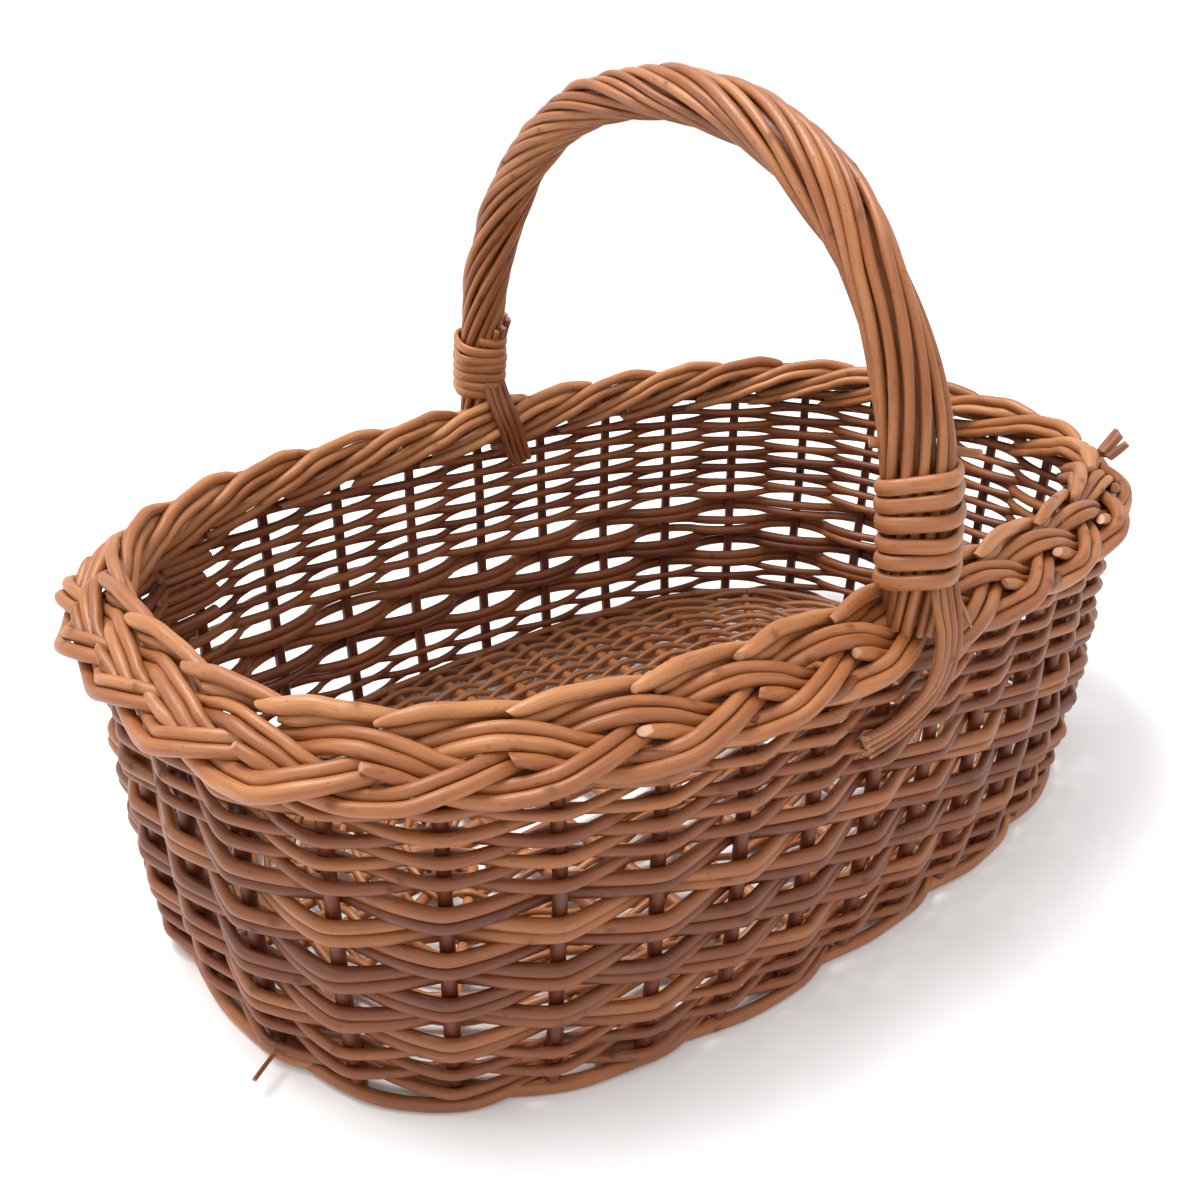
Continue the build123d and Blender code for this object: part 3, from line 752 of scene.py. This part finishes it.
def base_sticks():
    """Every stick of the base as start, end and radius, grouped by node."""
    long_sticks = []
    for i in range(LONG_STICKS):
        y = (i - LONG_STICKS // 2) * LONG_STICK_SPACING
        ends = [stick_end(0, y, way, 0, STICK_INSET) for way in (-1, 1)]
        long_sticks.append((*ends, LONG_STICK_RADIUS))
    cross_sticks = []
    for i in range(CROSS_STICKS):
        x = (i - CROSS_STICKS // 2) * CROSS_STICK_SPACING
        ends = [stick_end(x, 0, 0, way, STICK_INSET) for way in (-1, 1)]
        cross_sticks.append((*ends, CROSS_STICK_RADIUS))
    sticks = {"base_long_sticks": long_sticks, "base_cross_sticks": cross_sticks}
    for end, name in ((-1, "base_fan_sticks_left"), (1, "base_fan_sticks_right")):
        sticks[name] = []
        for angle in FAN_ANGLES:
            for side in (-1, 1):
                dx = end * math.cos(math.radians(angle))
                dy = side * math.sin(math.radians(angle))
                start = np.array([end * FAN_HUB + dx * FAN_START, dy * FAN_START])
                sticks[name].append((start, stick_end(end * FAN_HUB, 0, dx, dy, STICK_INSET), FAN_STICK_RADIUS))
    return sticks


def stick_crossings(flat, sticks):
    """Samples at which a round of the base weave crosses a stick, leaving out those too close to the last."""
    marks = set()
    for start, end, _ in sticks:
        run = end - start
        length = np.linalg.norm(run)
        run = run / length
        rel = flat - start
        side = run[0] * rel[:, 1] - run[1] * rel[:, 0]
        reach = rel @ run
        hit = (side[:-1] * side[1:] <= 0) & (reach[:-1] > -2 * MM) & (reach[:-1] < length + 3 * MM)
        marks.update(np.where(hit)[0].tolist())
    kept = []
    for mark in sorted(marks):
        if not kept or np.linalg.norm(flat[mark] - flat[kept[-1]]) >= NEAREST_CROSSINGS:
            kept.append(mark)
    return kept


def build_base():
    """Sticks, rounds of weave that go over one stick and under the next, and the edge rod."""
    sticks = base_sticks()
    for name, group in sticks.items():
        rods = Rods()
        for start, end, radius in group:
            t = np.linspace(0, 1, 24)[:, None]
            flat = start + (end - start) * t
            line = np.concatenate([flat, np.full((24, 1), BASE_Z)], 1)
            line[:, 2] += smooth_noise(24, 4, 0.2 * MM)
            rods.add(line, radius)
        rods.build(name + "_rods", [name], "willow_base", BASE_WILLOW_PAINTED_LIGHT)
    all_sticks = [stick for group in sticks.values() for stick in group]
    pieces = [Rods(), Rods(), Rods()]
    last = ROUND_SAMPLES - 1
    around = np.arange(ROUND_SAMPLES, dtype=float)
    for index in range(BASE_ROUNDS):
        inset = BASE_INSET + index * BASE_PITCH
        angle = np.linspace(0, 2 * math.pi, ROUND_SAMPLES)
        flat = superellipse(STAKE_HALF_LENGTH - inset, STAKE_HALF_WIDTH - inset, angle)
        marks = stick_crossings(flat, all_sticks)
        if len(marks) < 4:
            continue
        at = np.array(marks + [marks[0] + last], float)
        number = np.arange(len(at))
        phase = np.interp(np.where(around < at[0], around + last, around), at, number)
        height = np.cos(math.pi * (phase + index)) * BASE_WAVE
        line = np.concatenate([flat, (BASE_Z + height)[:, None]], 1)
        line[:, 2] += smooth_noise(ROUND_SAMPLES, 40, 0.15 * MM)
        shift = int(rng.uniform(0, ROUND_SAMPLES))
        line = np.roll(line[:-1], shift, axis=0)
        piece = pieces[min(index * len(pieces) // BASE_ROUNDS, len(pieces) - 1)]
        piece.add(line, np.array([1.15, 1.0, 0.8]) * BASE_ROD_RADIUS, sides=8, step=2 * MM, scars=0.5)
    for i, rods in enumerate(pieces):
        rods.build("base_weave_rods_%d" % (i + 1), ["base_weave_%d" % (i + 1)], "willow_base", BASE_WILLOW_PAINTED_LIGHT)
    edge = Rods()
    place = np.linspace(0, STAKE_COUNT - 0.2, 400)
    edge.add(on_wall(place, -5.2 * MM, 9 * MM + smooth_noise(400, 20, 0.3 * MM)), 1.7 * MM, tone=0.4)
    edge.build("base_edge_willow", ["base_edge_rod"], "willow_base", BASE_WILLOW_PAINTED_LIGHT)


# ---------------------------------------------------------------- handle

HANDLE_HALF_SPAN = 127 * MM
HANDLE_SPRING_Z = 127 * MM
HANDLE_APEX_Z = 274 * MM
HANDLE_EXPONENT = 2.26
HANDLE_SKEW = math.radians(3.94)
HANDLE_MIDDLE_X = 3.8 * MM


def handle_centres():
    """Centre line of the handle from the near foot to the far one, and the run along it."""
    angle = np.linspace(0.0, math.pi, 2001)
    power = 2 / HANDLE_EXPONENT
    c = np.cos(angle)
    s = np.clip(np.sin(angle), 0, 1)
    y = -HANDLE_HALF_SPAN * np.sign(c) * np.abs(c) ** power
    z = HANDLE_SPRING_Z + (HANDLE_APEX_Z - HANDLE_SPRING_Z) * s ** power
    x = HANDLE_MIDDLE_X + math.tan(HANDLE_SKEW) * y
    points = np.stack([x, y, z], 1)
    run = np.concatenate([[0], np.cumsum(np.linalg.norm(np.diff(points, axis=0), axis=1))])
    return points, run


_handle_points, _handle_run = handle_centres()
HANDLE_LENGTH = _handle_run[-1]
HANDLE_SIDE = np.array([math.cos(HANDLE_SKEW), -math.sin(HANDLE_SKEW), 0.0])


def handle_at(distance):
    """Centre, direction and normal at distances from the near foot."""
    distance = np.asarray(distance, float)

    def centre(d):
        return np.stack([np.interp(d, _handle_run, _handle_points[:, i]) for i in range(3)], -1)

    along = centre(distance + 3 * MM) - centre(distance - 3 * MM)
    along /= np.linalg.norm(along, axis=-1, keepdims=True)
    normal = np.cross(np.broadcast_to(HANDLE_SIDE, along.shape), along)
    return centre(distance), along, normal


def around_handle(distance, radius, turn):
    """Points round the handle's centre line, at a turn in radians."""
    centre, _, normal = handle_at(distance)
    radius = np.asarray(radius, float)
    turn = np.asarray(turn, float)
    across = normal * (radius * np.cos(turn))[..., None]
    return centre + across + HANDLE_SIDE * (radius * np.sin(turn))[..., None]


ROPE_RADIUS = 7.0 * MM
ROPE_ROD = 1.72 * MM
ROPE_RODS = 12
BOW_RADIUS = 5.4 * MM
BOW_END = 4 * MM


def squarish(turn, facing, exponent=3.2):
    """How far a rod wound round a squarish bundle stands out, as a share of the bundle's half width."""
    c = np.abs(np.cos(turn - facing))
    s = np.abs(np.sin(turn - facing))
    return (c ** exponent + s ** exponent) ** (-1 / exponent)


def build_handle():
    """The bow and the rods that are roped round it."""
    bow = Rods()
    bow.add(handle_at(np.linspace(BOW_END, HANDLE_LENGTH - BOW_END, 200))[0], BOW_RADIUS, sides=14, step=3 * MM)
    bow.build("handle_bow_rod", ["handle_bow"], "willow_handle", HANDLE_WILLOW)
    pieces = [Rods() for _ in range(4)]
    count = 280
    share = np.linspace(0, 1, count)
    # near leg almost straight, the twist tightens over the top and down the far leg
    twist = np.interp(share, [0, 0.25, 0.5, 0.75, 1], [0, 0.28, 0.85, 1.6, 2.25]) * 2 * math.pi
    # the roping stands out most above the near foot
    spread = 2.3 * MM * np.exp(-((share - 0.13) / 0.075) ** 2)
    spread = spread + 1.2 * MM * np.exp(-((share - 0.3) / 0.14) ** 2)
    spread += 0.9 * MM * np.exp(-((share - 0.8) / 0.1) ** 2)
    lines = []
    radii = []
    for k in range(ROPE_RODS):
        turn = 2 * math.pi * k / ROPE_RODS + twist + smooth_noise(count, 8, 0.10)
        radius = ROPE_RADIUS + spread + smooth_noise(count, 10, 0.45 * MM)
        lines.append(around_handle(share * HANDLE_LENGTH, radius, turn))
        size = ROPE_ROD * rng.uniform(0.86, 1.12)
        radii.append(np.interp(share, [0, 0.5, 1], rng.permutation([1.12, 1.0, 0.88])) * size)
    lines = relax(lines, radii, rounds=18)
    for k, (line, radius) in enumerate(zip(lines, radii)):
        pieces[k % 4].add(line, radius, sides=10, step=1.6 * MM, tone=rng.uniform(0.25, 0.85))
    for i, rods in enumerate(pieces):
        rods.build("handle_rope_rods_%d" % (i + 1), ["handle_rope_%d" % (i + 1)], "willow_handle", HANDLE_WILLOW)


LASHING_RADIUS = 2.55 * MM
LASHING_FLATTEN = 0.58
NEAR_LASHING_PITCH = 5.8 * MM
FAR_LASHING_PITCH = 4.1 * MM


def build_lashing(name, start, direction, turns, pitch, wide, facing):
    """A flattened rod wound round the foot of the handle, with both ends pushed in under its own turns."""
    rods = Rods()
    count = int(turns * 60)
    t = np.linspace(0, turns, count)
    turn = 2 * math.pi * t + 0.6
    tuck = 2.6 * MM * (np.exp(-t / 0.12) + np.exp(-(turns - t) / 0.12))
    radius = wide * squarish(turn, facing) - tuck + smooth_noise(count, turns * 7, 0.28 * MM)
    distance = start + direction * t * pitch + smooth_noise(count, turns * 5, 0.42 * MM)
    line = around_handle(distance, radius, turn)
    outward = line - handle_at(distance)[0]
    size = LASHING_RADIUS * (pitch / NEAR_LASHING_PITCH) ** 0.5
    rods.add(line, size, sides=12, step=1.0 * MM, flatten=LASHING_FLATTEN, facing=outward, tone=0.6, scars=0.3)
    rods.build(name + "_rod", [name], "willow_handle", HANDLE_WILLOW)


TAIL_RODS = 7
TAIL_LAYER = 1.1       # every second tail rod lies this much nearer the wall, in mm


def tail_points(foot_x, side, route):
    """Points in metres for a route of (x from the foot, distance outside the border, z) in mm."""
    return [[foot_x + x * MM, side * (BORDER_HALF_WIDTH + out * MM), z * MM] for x, out, z in route]


def add_tails(rods, foot_x, side, route_of, layer, radius, taper, tones):
    """A bundle of thin rods, each with its own small wander. route_of gives the route at a share of the bundle."""
    for i in range(TAIL_RODS):
        route = np.array(route_of(i / (TAIL_RODS - 1)), float)
        jitter = rng.normal(0, 0.35, (len(route), 2))
        route[:, 0] += jitter[:, 0]
        route[:, 1] += layer * (i % 2)
        route[:, 2] += jitter[:, 1]
        size = radius * rng.uniform(0.85, 1.15)
        rods.add(catmull(tail_points(foot_x, side, route)), np.array(taper) * size, sides=9,
                 tone=rng.uniform(*tones))


def near_route(u):
    return [
        (-5 + 10 * u, 9.6, 148),
        (-5 + 10 * u, 12.8, 139),
        (-4.6 + 9.6 * u, 15.2, 130),
        (-4.4 + 9.0 * u, 15.6, 121),
        (-5.5 + 8.6 * u, 14.6 - 0.6 * u, 113 - 4 * u),
        (-10 + 8.0 * u, 12.9 - 0.8 * u, 107 - 6 * u),
        (-19 + 6.5 * u, 11.4 - 0.6 * u, 103.0 - 7.5 * u),
        (-29 + 5 * u, 9.8 - 0.8 * u, 100.5 - 8.5 * u),
    ]


def far_route(u):
    drop = 4 * abs(u - 0.4)
    return [
        (-4 + 9 * u, -9.5, 147),
        (-4 + 9.5 * u, -12.5, 140),
        (-3 + 10 * u, -15.5, 132),
        (0 + 10 * u, -16.5, 123),
        (4 + 9.5 * u, -15.0, 114),
        (8.5 + 8 * u, -13.5, 106 + drop),
    ]


SPLINTER_ROUTE = ((5.5, 12.0, 140), (8.0, 14.5, 134), (11.5, 15.5, 128))


def build_tails():
    """Rod ends below the lashings, with a peg and cut tips above them."""
    near = Rods()
    foot_x = handle_at(12 * MM)[0][0]
    add_tails(near, foot_x, -1, near_route, -TAIL_LAYER, 1.38 * MM, (0.95, 1.0, 0.85), (0.3, 0.8))
    # a splinter beside the bundle
    near.add(catmull(tail_points(foot_x, -1, SPLINTER_ROUTE)), np.array([0.9, 1.0, 0.3]) * 0.8 * MM,
             sides=6, tone=0.5, scars=0)
    near.build("tail_rods_near_willow", ["tail_rods_near"], "willow_handle", HANDLE_WILLOW)

    far = Rods()
    foot_x = handle_at(HANDLE_LENGTH - 12 * MM)[0][0]
    add_tails(far, foot_x, 1, far_route, TAIL_LAYER, 1.35 * MM, (0.9, 1.0, 0.95), (0.1, 0.6))
    far.build("tail_rods_far_willow", ["tail_rods_far"], "willow_handle", HANDLE_WILLOW)

    pegs = Rods()
    # a peg through the roping above the near lashing
    centre = handle_at(57 * MM)[0]
    aside = np.array([0.772, -0.635, -0.10])
    pegs.add(np.stack([centre + aside * d * MM for d in np.linspace(-14.5, 19.5, 16)]), 1.55 * MM, tone=0.45)
    # cut tips of the roping rods above the far lashing
    for i in range(6):
        turn = 1.7 + 0.25 * i
        first = HANDLE_LENGTH - (36 + rng.uniform(0, 2)) * MM
        last = HANDLE_LENGTH - (46 + rng.uniform(-2, 3)) * MM
        run = np.linspace(first, last, 8)
        pegs.add(around_handle(run, np.linspace(9.6, 11.0 + rng.uniform(0, 0.8), 8) * MM, turn + 0.02 * i),
                 1.35 * MM, sides=9, tone=0.3)
    pegs.build("handle_pegs", [], "willow_handle", HANDLE_WILLOW)


def build_strays():
    """Cut ends and a twig that stick out of the weave."""
    strays = Rods()
    for x, y, z, dx, dy, dz, length, size in STRAYS:
        start = np.array([x, y, z]) * MM
        run = np.array([dx, dy, dz], float)
        run /= np.linalg.norm(run)
        bend = rng.normal(0, 0.06, 3)
        t = np.linspace(0, 1, 12)[:, None]
        line = start + run * t * length * MM + bend * t ** 2 * length * MM * 0.5
        strays.add(line, np.array([1.0, 1.0, 0.9]) * size * MM, sides=9, tone=0.5, scars=0.5)
    strays.build("stray_ends", [], "willow_weave", WALL_WILLOW_PAINTED_SHADE)


# Where each stray end starts in mm, where it points, its length and its radius
STRAYS = [
    (179.5, -86, 131, 0.75, -0.15, 0.62, 11, 2.1),
    (183.0, -83, 130, 0.85, 0.05, 0.50, 13, 1.9),
    (177.0, -90, 131, 0.50, -0.45, 0.70, 9, 1.8),
    (-196, -48, 8, -0.85, -0.40, -0.10, 11, 0.8),
]


# ---------------------------------------------------------------- stage

FLOOR_HALF_SIZE = 14.0
FLOOR_GREY = 0.96
WORLD_STRENGTH = 1.04


def build_stage():
    """A pale floor, an even white world and two soft lights."""
    floor_mesh = bpy.data.meshes.new("floor")
    corners = [(x * FLOOR_HALF_SIZE, y * FLOOR_HALF_SIZE, 0) for x, y in ((-1, -1), (1, -1), (1, 1), (-1, 1))]
    floor_mesh.from_pydata(corners, [], [(0, 1, 2, 3)])
    floor = bpy.data.objects.new("floor", floor_mesh)
    bpy.context.scene.collection.objects.link(floor)
    material = bpy.data.materials.new("pale_floor")
    material.use_nodes = True
    shader = material.node_tree.nodes["Principled BSDF"]
    shader.inputs["Base Color"].default_value = (FLOOR_GREY, FLOOR_GREY, FLOOR_GREY, 1)
    shader.inputs["Roughness"].default_value = 0.6
    floor_mesh.materials.append(material)
    world = bpy.data.worlds.new("studio")
    bpy.context.scene.world = world
    world.use_nodes = True
    background = world.node_tree.nodes["Background"]
    background.inputs["Color"].default_value = (1, 1, 1, 1)
    background.inputs["Strength"].default_value = WORLD_STRENGTH

    def area(name, place, target, size, power):
        light = bpy.data.lights.new(name, "AREA")
        light.shape = "RECTANGLE"
        light.size, light.size_y = size
        light.energy = power
        obj = bpy.data.objects.new(name, light)
        obj.location = place
        obj.rotation_euler = (Vector(target) - Vector(place)).to_track_quat("-Z", "Y").to_euler()
        bpy.context.scene.collection.objects.link(obj)

    area("key", (-0.35, 0.35, 1.5), (0, 0, 0.1), (0.7, 0.7), 24)
    area("fill", (-1.2, -1.4, 0.9), (0, 0, 0.1), (1.4, 1.0), 2)
    bpy.context.scene.view_settings.view_transform = "Standard"


# The photograph's camera, solved from the outlines of border, foot and handle
CAMERA_AZIMUTH, CAMERA_ELEVATION, CAMERA_ROLL = (math.radians(v) for v in (-39.44, 26.07, 0.19))
CAMERA_TARGET = Vector((-0.00955, 0.0371, 0.07529))
CAMERA_DISTANCE = 0.52309
PICTURE_SIZE = 1200
FOCAL_PIXELS = 1246.36
SHIFT_PIXELS = (34.06, -1.5)
SENSOR_WIDTH = 36


def build_camera():
    flat = math.cos(CAMERA_ELEVATION)
    back = Vector((math.sin(CAMERA_AZIMUTH) * flat, -math.cos(CAMERA_AZIMUTH) * flat, math.sin(CAMERA_ELEVATION)))
    level = Vector((math.cos(CAMERA_AZIMUTH), math.sin(CAMERA_AZIMUTH), 0))
    upright = back.cross(level)
    right = math.cos(CAMERA_ROLL) * level + math.sin(CAMERA_ROLL) * upright
    up = math.cos(CAMERA_ROLL) * upright - math.sin(CAMERA_ROLL) * level
    data = bpy.data.cameras.new("camera")
    data.sensor_width = SENSOR_WIDTH
    data.lens = SENSOR_WIDTH * FOCAL_PIXELS / PICTURE_SIZE
    data.shift_x, data.shift_y = (pixels / PICTURE_SIZE for pixels in SHIFT_PIXELS)
    camera = bpy.data.objects.new("camera", data)
    place = CAMERA_TARGET + back * CAMERA_DISTANCE
    camera.matrix_world = Matrix.Translation(place) @ Matrix((right, up, back)).transposed().to_4x4()
    bpy.context.scene.collection.objects.link(camera)
    bpy.context.scene.camera = camera


build_camera()
build_stage()
build_stakes()
build_wall()
build_border()
build_foot()
build_base()
build_handle()
build_lashing("lashing_near", 14.5 * MM, 1, 6.2, NEAR_LASHING_PITCH, 11.6 * MM, -0.99)
build_lashing("lashing_far", HANDLE_LENGTH - 13 * MM, -1, 6.5, FAR_LASHING_PITCH, 10.6 * MM, 0.4)
build_tails()
build_strays()
